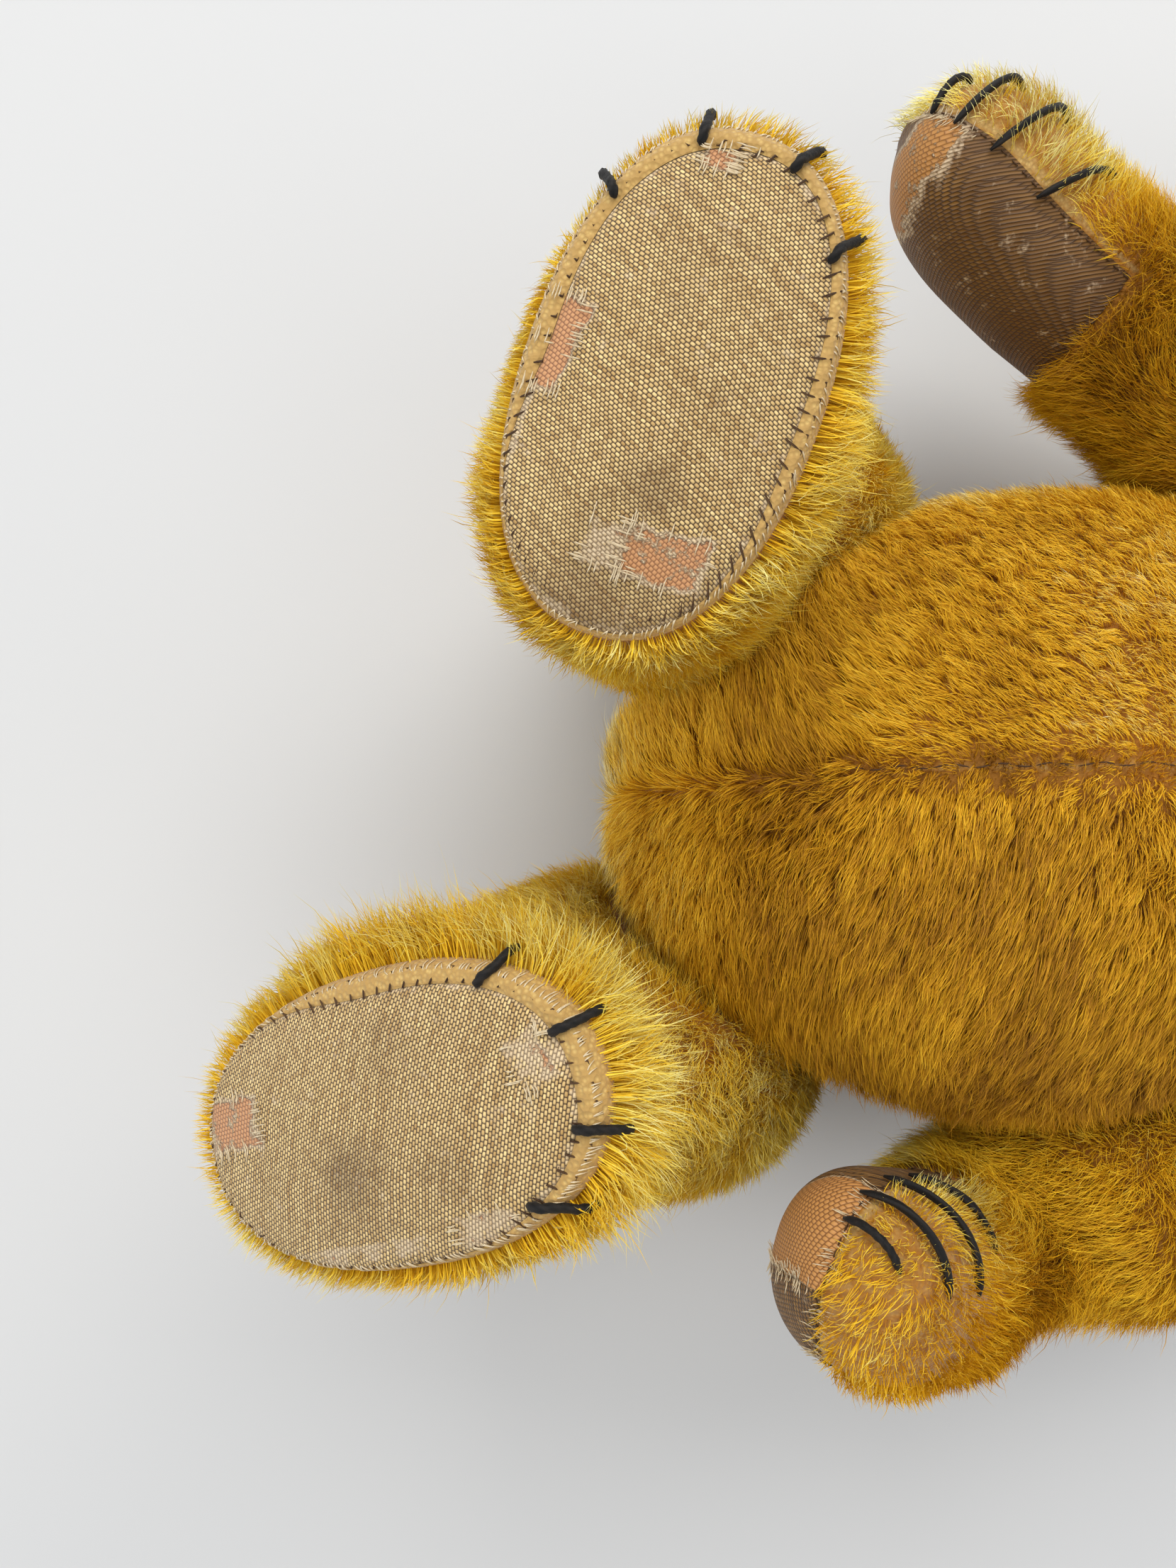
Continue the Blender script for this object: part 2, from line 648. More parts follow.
def scatter(p, density, count):
    """Roots spread over a wrapped grid: a reader of grid fields at the roots, and the grid's area."""
    n, m, _ = p.shape
    i0, j0 = np.meshgrid(np.arange(n - 1), np.arange(m), indexing="ij")
    i0, j0 = i0.ravel(), j0.ravel()
    j1 = (j0 + 1) % m
    d1, d2 = p[i0 + 1, j1] - p[i0, j0], p[i0 + 1, j0] - p[i0, j1]
    area = norm(np.cross(d1, d2)) / 2
    thick = (density[i0, j0] + density[i0 + 1, j1] + density[i0 + 1, j0] + density[i0, j1]) / 4
    total = np.cumsum(area * thick)
    pick = np.searchsorted(total, RNG.uniform(0, total[-1], count))
    pick = np.clip(pick, 0, len(i0) - 1)
    fu, fv = RNG.uniform(size=count), RNG.uniform(size=count)
    i0, j0, j1 = i0[pick], j0[pick], j1[pick]
    corners = (
        ((1 - fu) * (1 - fv), i0, j0), ((1 - fu) * fv, i0, j1),
        (fu * (1 - fv), i0 + 1, j0), (fu * fv, i0 + 1, j1),
    )

    def at(field):
        out = 0
        for weight, i, j in corners:
            value = field[i, j]
            out = out + (value * weight[:, None] if value.ndim == 2 else value * weight)
        return out

    return at, area.sum()


def gather(root, tip, length, area, lock, clump):
    """Draws the tips of neighbouring fibres together: the new tips, and each fibre's lock."""
    count = len(root)
    heads = max(1, int(area / lock ** 2))
    heads = RNG.choice(count, min(heads, count // 4), replace=False)
    tree = KDTree(len(heads))
    for k, h in enumerate(heads):
        tree.insert(root[h], k)
    tree.balance()
    near = np.fromiter((tree.find(r)[1] for r in root), np.int64, count)
    head = heads[near]
    pull = clump * RNG.uniform(0.5, 1.25, count)[:, None]
    spread = root - root[head]
    shared = root[head] + (tip[head] - root[head]) * (length / length[head])[:, None] + 0.35 * spread
    return tip * (1 - pull) + shared * pull, head


def fur(name, body, p, count, density, length, nap, tone, width, lock=2.0, clump=0.38, lift=0.6,
        jitter=0.22, shade="limb"):
    """Pile over a wrapped grid. nap is the way it lies, as vectors of length 0 (upright) to about 1."""
    normal = grid_normals(p)
    count = int(count * COUNT_SCALE)
    at, area = scatter(p, density, count)
    root, nor, lie = at(p), unit(at(normal)), at(nap)
    ln, tn = at(length), at(tone)
    ln = ln * RNG.uniform(0.72, 1.12, count)
    ln = ln * np.where(RNG.uniform(size=count) < LONG_SHARE, LONG_STRETCH, 1.0)
    lie = lie - nor * (lie * nor).sum(1, keepdims=True)
    up = at(lift)[:, None] if isinstance(lift, np.ndarray) else lift
    way = nor * up + lie + RNG.normal(0, jitter, (count, 3))
    tip, head = gather(root, root + unit(way) * ln[:, None], ln, area, lock, clump)
    mid = root + nor * (ln * 0.42)[:, None] + (tip - root) * 0.12
    lock_tone = RNG.normal(0, 0.55, count)[head]
    tones = np.round(tn + lock_tone + RNG.normal(0, 0.65, count)).astype(int)
    wid = np.full(count, width) * RNG.uniform(0.6, 1.25, count) / max(COUNT_SCALE, 0.45) ** 0.5
    parts = max(1, math.ceil(count / STRANDS_A_PIECE))
    order = RNG.permutation(count)
    for k in range(parts):
        s = order[k::parts]
        o = strands_mesh("%s_%d" % (name, k + 1), root[s], mid[s], tip[s], wid[s], nor[s],
                         tones[s], shade)
        attach(o, body)


# ---------------------------------------------------------------- pieces
def attach(piece, body):
    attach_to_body(piece, body)
    return piece


def cloth_piece(o, body, nodes):
    """A stuffed skin that stands for CAD nodes."""
    attach(fix_normals(o), body)
    if nodes:
        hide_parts(*nodes)


def mohair_skin(name, p, bald):
    return grid_mesh(name, p, [BACKING], close=(True, True), attributes={"bald": bald})


def limb_covers(name):
    return [name + "_outer_cover", name + "_inner_cover", name + "_stuffing"]


def threads(name, body, paths, radius, material, sides):
    return attach(tube_mesh(name, paths, radius, material, sides), body)


def claw_threads(name, body, paths):
    paths = [smooth_path(np.vstack(path)) for path in paths]
    o = threads(name + "_claw_threads", body, paths, 0.58, BLACK_THREAD, sides=12)
    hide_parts(name + "_claws")


def smooth_path(p):
    for _ in range(3):
        p[1:-1] = (p[:-2] + 2 * p[1:-1] + p[2:]) / 4
    return p


# ---------------------------------------------------------------- torso
# Height of a normal below which the skin lies on the table
LYING = -0.97
FAR = 99.0


def build_torso():
    p = torso_grid(5, 128)
    q = p - SHIFT
    n, m, _ = p.shape
    top = m // 4
    along = q[..., 1]
    front = np.broadcast_to(np.sin(np.arange(m) / m * 2 * np.pi) > 0, (n, m))
    # Distance from the centre-front seam, which follows the top of each ring
    dx = np.where(front, p[..., 0] - p[:, top, 0][:, None], FAR)
    close_seam = np.exp(-((dx / 1.1) ** 2)) * smooth((along - 22) / 22)
    worn_band = np.exp(-(((dx - 2.6) / 2.0) ** 2)) * smooth((along - 30) / 22)
    wear = np.exp(-((dx / 20.0) ** 2)) * smooth((along - 25) / 40)
    normal = grid_normals(p)
    side = np.sign(np.where(front, dx, p[..., 0] - SHIFT[0]))[..., None]
    upper = np.where(front & (dx < 0), 1.0, 0.0) * smooth((along - 20) / 30)

    # The pile lies away from the seam, and towards the feet on the upper half
    nap = side * np.array([0.75, 0.0, 0.0]) * (1 - 0.75 * upper)[..., None]
    nap = nap - np.array([0.0, 1.0, 0.0]) * (0.14 + 0.4 * upper)[..., None]
    lift = 0.5 + 0.2 * close_seam
    swirl = np.stack([wave_noise(p, 26, 3), wave_noise(p, 26, 4), 0 * along], -1)
    nap = nap + 0.30 * swirl * (1 - 0.7 * upper)[..., None]
    nap = nap * (1 - 0.35 * close_seam)[..., None]

    length = 6.4 + 0.6 * wave_noise(p, 30, 5)
    length = length * (1 - 0.4 * close_seam) * (1 - 0.35 * worn_band)
    length = length * (1 - 0.25 * wear) * (1 - 0.38 * upper)
    flat = normal[..., 2] < LYING
    hidden = np.zeros((n, m), bool)
    pressed = np.zeros((n, m), bool)
    for j, (axis, d) in zip(LIMBS, PLANES):
        pressed |= (q @ axis) > d - 0.6
        reach = 17.0 if "hip" in j else 13.0
        hidden |= ((q @ axis) > d - 0.6) & (norm(p - joint_pos(j)) < reach)
    density = np.where(hidden, 0.12, 1.0) * np.where(flat, 0.7, 1.0)
    density = density * np.where(front, 1.0, 0.65) * (1 - 0.15 * close_seam)
    density = density * np.where(along > TORSO_LEN - 3, 0.3, 1.0)
    length = np.where(hidden, 1.2, np.where(pressed | flat, 4.0, length))
    edge = smooth((0.62 - normal[..., 2]) / 0.6)
    tone = 3.1 + 2.2 * edge + 0.8 * wave_noise(p, 22, 6) + 0.5 * wear + 3.2 * upper + 1.6 * worn_band
    tone = tone + 3.8 * smooth((28 - along) / 28)

    skin = mohair_skin("torso_cloth", p, 0.45 * close_seam)
    cloth_piece(skin, "torso", ["torso_cover_left", "torso_cover_right", "torso_stuffing"])
    fur("torso_pile", "torso", p, 240000, density, length, nap, tone, width=0.16, lock=2.7,
        clump=0.5, lift=lift, jitter=0.2, shade="body")
    build_front_seam(p[:, top], normal[:, top])


def build_front_seam(row, normal):
    """A row of dark stitches in the parting, along the line of points row."""
    y = row[:, 1] - SHIFT[1]
    start, stop, stitch, pitch = 30.0, 138, 2.3, 2.9
    stitches = []
    at = start
    while at < stop:
        path = []
        for s in np.linspace(at, at + stitch, 6):
            c = np.array([np.interp(s, y, row[:, k]) for k in range(3)])
            up = unit(np.array([np.interp(s, y, normal[:, k]) for k in range(3)]))
            h = 0.35 * math.sin(math.pi * (s - at) / stitch) + 1.1
            path.append(c + up * h + [0.25 * math.sin(s * 0.9), 0, 0])
        stitches.append(path)
        at += pitch
    threads("torso_front_seam", "torso", stitches, 0.14, SEAM_THREAD, sides=6)


# ---------------------------------------------------------------- legs
# Worn places of each sole in mm across and along it from its middle, half sizes, turn, how bare
WORN = {
    "left_hip": [(-3.7, -24.5, 3.2, 5.2, 0, 0.72), (-3.0, 23.5, 3.2, 2.2, 20, 0.42),
                 (15.0, 12.0, 2.0, 4.0, 0, 0.45), (15.5, -8.0, 1.2, 9.0, 0, 0.35)],
    "right_hip": [(-14.6, 0.5, 2.5, 5.2, -10, 1.0), (-2.8, 26.0, 1.8, 1.2, 0, 0.95),
                  (3.5, 29.5, 3.4, 1.4, 0, 0.60), (6.6, -20.0, 5.0, 3.0, 5, 0.72),
                  (0.0, -20.5, 3.0, 2.6, 0, 0.45), (-16.5, -8.0, 1.3, 8.0, 0, 0.40)],
}
# Stains of each sole: across and along it, radius, how dark
DIRTY = {
    "left_hip": [(5.4, -5.3, 6.5, 0.8), (-7.5, 7.0, 8.0, 0.35), (9.0, 9.0, 7.0, 0.3)],
    "right_hip": [(1.0, 14.0, 8.0, 0.35), (3.5, -13.5, 5.0, 0.7), (9.0, 3.0, 9.0, 0.2),
                  (0.0, -27.0, 13.0, 0.65)],
}
# Width of the bare strip of mohair backing at a sole's rim
BARE_STRIP = 0.7
# The sides of the rims where the seam allowance is wide and the pile is long
LEFT_WIDE = np.array([-0.85, 0.50, 0.1])
RIGHT_WIDE = np.array([-0.25, 0.95, 0.1])


def box_mask(u, v, x, y, hx, hy, deg, amount):
    """amount inside a turned rectangle, fading to 0 just outside it."""
    a = math.radians(deg)
    du, dv = u - x, v - y
    r, s = du * math.cos(a) + dv * math.sin(a), dv * math.cos(a) - du * math.sin(a)
    d = np.maximum(np.abs(r) / hx, np.abs(s) / hy)
    return amount * smooth((1.35 - d) / 0.55)


def build_leg(joint):
    side = joint.split("_")[0]
    name, body = "leg_" + side, side + "_leg"
    local = limb_local(LEG, 6, 112)
    p = on_limb(local, joint)
    normal = grid_normals(p)
    from_rim = local[..., 1] - local[-1, 0, 1]
    toward = unit(np.gradient(p, axis=0))
    # The seam allowance is wide on the side that has lost its pile
    out_dir = unit(p[-1] - p[-1].mean(0))
    facing = out_dir @ unit(LEFT_WIDE if side == "left" else RIGHT_WIDE)
    bald = smooth((BARE_STRIP + 0.6 - from_rim) / 1.2)
    near = smooth((17 - from_rim) / 14)[..., None]
    flare = toward * (0.18 + 0.45 * (1 - smooth((facing + 0.2) / 0.8)))[None, :, None]
    nap = toward * 0.6 * (1 - near) + flare * near
    nap = nap + 0.26 * wave_field(p, 20, 40 if side == "left" else 50)
    if side == "left":
        fringe = 4.6 + 6.0 * smooth((facing + 0.35) / 0.9)
    else:
        fringe = 3.0 + 3.4 * smooth((out_dir @ np.array([1.0, 0.15, 0]) + 0.2) / 0.9)
        fringe = fringe + 2.4 * smooth(facing / 0.8)
    length = 6.2 + (fringe[None, :] - 6.2) * near[..., 0] + 0.6 * wave_noise(p, 18, 9)
    length = length * (1 - 0.3 * smooth((2.0 + BARE_STRIP - from_rim) / 2.0))
    from_disc = np.hypot(local[..., 1] - 4, local[..., 2] - 6)
    hidden = (local[..., 0] < 0.5) & (from_disc < 25)
    density = np.where(hidden, 0.1, 1.0) * (1 - 0.985 * smooth((BARE_STRIP + 0.5 - from_rim) / 0.9))
    length = np.where(hidden, 1.2, length)
    lit = np.maximum(smooth((normal[..., 2] + 0.1) / 0.7), near[..., 0])
    tone = 7.4 + 1.5 * lit + 0.5 * wave_noise(p, 24, 12)
    cloth_piece(mohair_skin(name + "_cloth", p, bald), body, limb_covers(name))
    fur(name + "_pile", body, p, 100000, density, length, nap, tone, width=0.15,
        jitter=0.24)
    build_sole_pad(joint, name, body)
    build_seam_allowance(joint, name, body)
    build_pad_stitches(joint, name, body)
    build_frayed_threads(joint, name, body)
    build_sole_claws(joint, name, body)


def sole_point(joint, s, a, lift=0.0):
    """A point of the sole's outer face, s from 0 in the middle to 1 at the rim and a round it,
    and the same point across and along the sole from its middle."""
    edge = PAD * np.sqrt(np.clip((1 - s) / 0.05, 0, 1))
    x = SOLE_MID[0] + SOLE_W / 2 * s * spow(np.cos(a), 2 / POWER)
    z = SOLE_MID[1] + SOLE_LEN / 2 * s * spow(np.sin(a), 2 / POWER)
    y = -LEG_LEN - edge - CROWN * (1 - s * s) - lift + 0 * x
    return on_limb(np.stack([x, y, z], -1), joint), np.stack([x, z], -1) - SOLE_MID


def seam_inset(joint, a):
    """How far the pad's seam lies inside the rim, in mm, and its place as a share of the radius."""
    rim, uv = sole_point(joint, np.ones_like(a), a)
    way = unit(rim - rim.reshape(-1, 3).mean(0))
    if joint.startswith("left"):
        inset = 0.5 + 2.6 * smooth((way @ unit(LEFT_WIDE) + 0.45) / 1.2)
    else:
        inset = 0.5 + 1.7 * smooth((way @ unit(np.array([-0.1, 1.0, 0.1])) + 0.3) / 1.1)
        inset = inset + 2.7 * smooth((way @ unit(np.array([-0.75, -0.65, 0])) - 0.1) / 0.85)
    return inset, 1 - inset / norm(uv)


def rim_point(joint, a, down, grow):
    """A point just past the rim, on the side of the foot."""
    x = SOLE_MID[0] + SOLE_W / 2 * grow * spow(np.cos(a), 2 / POWER)
    z = SOLE_MID[1] + SOLE_LEN / 2 * (1 + (grow - 1) * 0.6) * spow(np.sin(a), 2 / POWER)
    return on_limb(np.stack([x, -LEG_LEN + down + 0 * x, z], -1), joint)


AROUND = np.arange(176) / 176 * 2 * np.pi


def sole_sign(joint):
    """1 where the lists WORN and DIRTY run the same way across the sole as sole_point, else -1."""
    across = place(np.array([1.0, 0, 0]), joint, True)
    listed = np.array([0.951, 0.309, 0]) if joint.startswith("left") else np.array([0.342, 0.94, 0])
    return 1.0 if across @ listed > 0 else -1.0


def build_sole_pad(joint, name, body):
    _, share = seam_inset(joint, AROUND)
    t = np.concatenate([np.linspace(0.004, 0.93, 60), np.linspace(0.94, 1.0, 12)])
    tt, aa = np.meshgrid(t, AROUND, indexing="ij")
    puff = 0.55 * np.sqrt(np.clip((1 - tt) / 0.06, 0, 1)) - 0.15
    p, uv = sole_point(joint, tt * share, aa, puff)
    u, v = uv[..., 0] * sole_sign(joint), uv[..., 1]
    worn = np.zeros_like(u)
    for w in WORN[joint]:
        worn = np.maximum(worn, box_mask(u, v, *w))
    dirt = np.zeros_like(u)
    for x, y, r, amount in DIRTY[joint]:
        dirt = np.maximum(dirt, amount * np.exp(-((u - x) ** 2 + (v - y) ** 2) / r ** 2))
    dirt = dirt + 0.2 * smooth((tt - 0.9) / 0.1)
    worn = np.maximum(worn, 0.32 * smooth((tt - 0.94) / 0.06))
    weft = np.stack([u, v, 0 * u], -1)
    o = grid_mesh(name + "_sole", p, [SOLE], close=(True, False),
                  attributes={"worn": worn, "dirt": dirt}, vectors={"weft": weft})
    cloth_piece(o, body, [name + "_sole_pad"])


def build_seam_allowance(joint, name, body):
    """The bald, slightly raised strip between the pad and the pile."""
    inset, share = seam_inset(joint, AROUND)
    rows = []
    for q in np.linspace(0, 1, 9):
        raised = (0.25 + 0.12 * inset) * np.sin(math.pi * (0.1 + 0.8 * q)) - 0.2
        rows.append(sole_point(joint, share + (1 - share) * q, AROUND, raised)[0])
    rows.append(rim_point(joint, AROUND, 0.6, 1.012))
    rows.append(rim_point(joint, AROUND, 2.4, 1.0))
    strip = np.array(rows)
    o = grid_mesh(name + "_seam_allowance", strip, [BACKING],
                  attributes={"bald": np.ones(strip.shape[:2])})
    attach(o, body)


def build_pad_stitches(joint, name, body):
    """Short dark stitches round the pad, uneven as hand sewing is."""
    around = np.linspace(0, 2 * np.pi, 2000)
    _, edge = seam_inset(joint, around)
    rim, _ = sole_point(joint, edge, around)
    dist = run_length(rim)
    stitches = []
    at = 0.0
    while at < dist[-1] - 2:
        ts = np.linspace(*np.interp([at, at + RNG.uniform(1.0, 1.5)], dist, around), 4)
        _, e = seam_inset(joint, ts)
        raised = 0.18 + 0.12 * np.sin(np.linspace(0.3, 2.8, 4))
        path, _ = sole_point(joint, e * (0.992 + RNG.normal(0, 0.003)), ts, raised)
        stitches.append(path)
        at += RNG.uniform(1.8, 2.6)
    threads(name + "_pad_stitches", body, stitches, 0.17, SEAM_THREAD, sides=5)


def build_frayed_threads(joint, name, body):
    """Overcast threads across the bald strip, and threads frayed out of the worn places."""
    loose = []
    for angle in np.linspace(0, 2 * np.pi, 210, endpoint=False):
        angle = angle + RNG.normal(0, 0.012)
        wide, e = seam_inset(joint, np.array([angle]))
        reach = RNG.uniform(0.75, 1.0)
        slant = RNG.normal(0.02, 0.015)
        q = np.linspace(0.03, reach, 5)
        ts = angle + slant * q
        raised = (0.38 + 0.12 * wide) * np.sin(math.pi * (0.1 + 0.8 * q)) - 0.1
        path, _ = sole_point(joint, e + (1 - e) * q, ts, raised)
        if reach > 0.93:
            path = np.vstack([path, rim_point(joint, ts[-1:], 1.2, 1.02)])
        loose.append(path)
    sign = sole_sign(joint)
    up = unit(place(np.array([0, -1.0, 0]), joint, True))
    for x, y, hx, hy, _, amount in WORN[joint]:
        if amount < 0.4:
            continue
        for _ in range(int(40 * amount)):
            edge, f = RNG.integers(0, 4), RNG.uniform(-1, 1)
            du, dv = ((hx * f, hy), (hx * f, -hy), (hx, hy * f), (-hx, hy * f))[edge]
            length, bend = RNG.uniform(1.0, 3.2), RNG.normal(0, 0.35)
            e = np.linspace(-0.5, 0.5, 5)
            along, over = length * e, bend * e * e
            u = x + 1.1 * du + (over if edge < 2 else along)
            v = y + 1.1 * dv + (along if edge < 2 else over)
            cx, cz = u * sign / (SOLE_W / 2), v / (SOLE_LEN / 2)
            out = (np.abs(cx) ** POWER + np.abs(cz) ** POWER) ** (1 / POWER)
            if out.max() > 0.93:
                continue
            angle = np.arctan2(spow(cz, POWER / 2), spow(cx, POWER / 2))
            path, _ = sole_point(joint, out, angle, 0.5)
            loose.append(path + up * (0.18 + 0.4 * np.abs(e))[:, None])
    threads(name + "_frayed_threads", body, loose, 0.11, PALE_THREAD, sides=4)


def build_sole_claws(joint, name, body):
    """Four thick threads from the pad over its seam into the pile."""
    claws = []
    for degrees in (-51, -17, 17, 51):
        angle = math.radians(90 - degrees)
        lean = RNG.normal(0, 0.05)
        _, e = seam_inset(joint, np.array([angle]))
        q = np.linspace(0, 1, 10)
        flat, _ = sole_point(joint, e * 0.93 + (1 - e * 0.93) * q, angle + lean * q,
                             0.15 + 1.15 * np.sin(math.pi * (0.05 + 0.75 * q)))
        f = np.linspace(0.12, 1, 7)
        over = rim_point(joint, angle + lean * (1 + f), -0.8 + 3.4 * f, 1.03 + 0.10 * np.sin(f * 2.0))
        claws.append([flat, over])
    claw_threads(name, body, claws)


# ---------------------------------------------------------------- arms
ARM_STEPS, ARM_AROUND = 6, 96
# The pad is the inner half of the paw: its first outline row, and its edges in degrees
WRIST_ROW = 7
PAD_EDGES = (89, 271)
# How far the rings that close the paw's end stand out, in mm
TIP_BULGE = np.array([0.5, 0.9, 1.0])


def arm_local():
    """The arm's skin with both its ends closed by smaller and smaller rings."""
    local = limb_local(ARM, ARM_STEPS, ARM_AROUND)
    tip = capped(local[::-1])[:len(CAP_RINGS)][::-1]
    tip[..., 1] -= TIP_BULGE[:, None]
    return np.concatenate([local, tip])


def build_arm(joint):
    side = joint.split("_")[0]
    name, body = "arm_" + side, side + "_arm"
    local = arm_local()
    p = on_limb(local, joint)
    n, m, _ = p.shape
    normal = grid_normals(p)
    angle = np.arange(m) / m * 360
    pad_from = WRIST_ROW * ARM_STEPS + len(CAP_RINGS)
    is_pad = (angle >= PAD_EDGES[0]) & (angle <= PAD_EDGES[1])
    along = local[..., 1]
    rows = np.arange(n)[:, None]
    # How far a point of the fur side is from the pad's edge
    edge_gap = np.minimum(np.abs(angle - 90), np.abs(angle - 270))[None, :] / 360 * 100
    edge_gap = np.where(is_pad[None, :], -edge_gap, edge_gap)
    on_pad = (rows >= pad_from) & is_pad[None, :]
    paw = smooth((-58 - along) / 22)
    bald = np.where(rows >= pad_from, smooth((2.6 - edge_gap) / 2.4), 0.0) * (1 - on_pad)
    nap = unit(np.gradient(p, axis=0)) * 0.50 + 0.30 * wave_field(p, 17, 60)
    length = 6.4 - (3.0 if side == "left" else 2.0) * paw + 0.6 * wave_noise(p, 18, 21)
    hidden = (local[..., 0] < 0.5) & (np.hypot(along, local[..., 2]) < 20)
    density = np.where(on_pad, 0.0, 1.0) * np.where(hidden, 0.1, 1.0)
    density = density * (1 - 0.62 * paw) * (1 - 0.85 * bald)
    length = np.where(hidden, 1.2, length)
    pale = 5.2 if side == "right" else 1.6
    tone = 5.3 + 2.4 * smooth((0.5 - normal[..., 2]) / 0.7) + pale * paw + 0.7 * wave_noise(p, 20, 22)
    # The left arm has bleached towards the body, the right one away from it
    bleached = 2.0 if side == "left" else -1.2
    tone = tone + bleached * smooth((normal @ inward(joint) + 0.1) / 0.8) - 0.6
    skin = mohair_skin(name + "_cloth", p, np.maximum(bald, 0.42 * paw))
    cloth_piece(skin, body, limb_covers(name))
    fur(name + "_pile", body, p, 80000, density, length, nap, tone, width=0.15,
        jitter=0.26)

    cols = np.where(is_pad)[0]
    part = (slice(pad_from, None), slice(cols[0], cols[-1] + 1))
    pad, up = build_paw_pad(side, name, body, p[part], local[part], normal[part], p.mean((0, 1)))
    build_paw_threads(side, name, body, pad, up)
    build_paw_claws(name, body, p, normal, along[:, 0])


def finer(v, down, over):
    """The grid v read at the fractional rows down and columns over."""
    a0, b0 = np.floor(down).astype(int), np.floor(over).astype(int)
    a1, b1 = np.minimum(a0 + 1, v.shape[0] - 1), np.minimum(b0 + 1, v.shape[1] - 1)
    wa, wb = (down - a0)[:, None, None], (over - b0)[None, :, None]
    return ((1 - wa) * (1 - wb) * v[a0][:, b0] + (1 - wa) * wb * v[a0][:, b1]
            + wa * (1 - wb) * v[a1][:, b0] + wa * wb * v[a1][:, b1])


def build_paw_pad(side, name, body, skin, local, normal, middle):
    """A crowned skin just proud of the arm that ends in the seam: its grid and its normals."""
    k, w, _ = skin.shape
    f = np.linspace(0, 1, w)[None, :]
    g = np.linspace(0, 1, k)[:, None]
    proud = 0.25 + 0.55 * np.minimum(1, np.sin(np.pi * f) * 4) * np.minimum(1, g * 8)
    down = np.linspace(0, k - 1, (k - 1) * 3 + 1)
    over = np.linspace(0, w - 1, (w - 1) * 2 + 1)
    pad, flat = finer(skin + normal * proud[..., None], down, over), finer(local, down, over)
    # Millimetres across the pad from its middle, and along it from the wrist
    step = norm(np.diff(pad, axis=1))
    u = np.concatenate([np.zeros((len(down), 1)), np.cumsum(step, 1)], 1)
    u = u - u[:, -1:] / 2
    v = run_length(pad[:, len(over) // 2])[:, None] + 0 * u
    f = np.broadcast_to(over / (w - 1), v.shape)
    end = v[-1 - 3 * len(CAP_RINGS)].max()
    if side == "left":
        worn = smooth((v - (end - 15)) / 2.0) * smooth((u.max() * 0.95 - np.abs(u)) / 2.0)
        worn = 1.1 * worn * smooth((0.60 - f) / 0.06)
        dirt = 0.25 + 0.3 * smooth((end - 16 - v) / 8)
    else:
        worn = 0.78 * smooth((v - (end - 17)) / 6.0) * smooth((0.42 - np.abs(f - 0.36)) / 0.12)
        worn = worn * smooth((end - 1 - v) / 4)
        dirt = np.full_like(v, 0.95)
    weft = np.stack([flat[..., 2], 0.85 * (flat[..., 0] - flat[..., 1]), 0 * u], -1)
    o = grid_mesh(name + "_pad", pad, [PAW], wrap=False,
                  attributes={"worn": worn, "dirt": dirt}, vectors={"weft": weft})
    attach(o, body)
    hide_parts(name + "_paw_pad")
    up = grid_normals(pad, False)
    return pad, up if (up * (pad - middle)).sum() > 0 else -up


def build_paw_threads(side, name, body, pad, up):
    """Seam stitches round the pad, and threads frayed out of it."""
    outline = np.vstack([pad[::-1, 1], pad[0, 1:-1], pad[:, -2]])
    lift = np.vstack([up[::-1, 1], up[0, 1:-1], up[:, -2]])
    dist = run_length(outline)
    stitches = []
    at = 0.5
    while at < dist[-1] - 2:
        ts = np.linspace(at, at + 1.2, 4)
        stitches.append(np.stack([
            np.interp(ts, dist, outline[:, c]) + 0.12 * np.interp(ts, dist, lift[:, c])
            for c in range(3)], -1))
        at += RNG.uniform(1.7, 2.4)
    threads(name + "_pad_stitches", body, stitches, 0.16, SEAM_THREAD, sides=5)

    rows, cols, _ = pad.shape
    edges = [2, cols - 3]
    tears = [int(cols * 0.58), int(cols * 0.56)] if side == "left" else edges
    loose = []
    for _ in range(150):
        r = RNG.integers(int(rows * 0.45), rows - 4)
        c = int(RNG.choice(edges + tears))
        q = pad[r, c]
        onward = unit(pad[min(r + 3, rows - 1), c] - q + RNG.normal(0, 0.5, 3))
        across = unit(pad[r, min(c + 2, cols - 1)] - q)
        way = across * RNG.choice([-1, 1]) + 0.3 * onward
        length = RNG.uniform(0.8, 2.4)
        loose.append([q + up[r, c] * (0.15 + 0.5 * e * e) + way * length * e
                      for e in np.linspace(0, 1, 4)])
    threads(name + "_frayed_threads", body, loose, 0.10, PALE_THREAD, sides=4)


def build_paw_claws(name, body, p, normal, along):
    """Four threads over the paw's end, each from the pad's front edge over the fur side."""
    m = p.shape[1]
    first = np.searchsorted(-along, 72)
    last = len(p) - 4 - len(CAP_RINGS)
    claws = []
    # Where each claw starts between first and last, how far round it reaches, how much it slants
    for start, reach, slant in zip(np.linspace(0.15, 0.86, 4), (0.9, 1.25, 1.25, 1.0), (1, 1, 1, 0.5)):
        row = int(first + (last - first) * start)
        path = []
        for f in np.linspace(0, 1, 16):
            down = row - 3.5 * f * slant
            over = (96 - 62 * f * reach) % 360 / 360 * m
            i, j = int(down), int(over) % m
            fi, fj = down - i, over - int(over)
            q = ((1 - fi) * ((1 - fj) * p[i, j] + fj * p[i, (j + 1) % m])
                 + fi * ((1 - fj) * p[i + 1, j] + fj * p[i + 1, (j + 1) % m]))
            path.append(q + normal[i, j] * (0.3 + 1.9 * math.sin(math.pi * min(1, 0.12 + f * 0.9))))
        claws.append(path)
    claw_threads(name, body, claws)


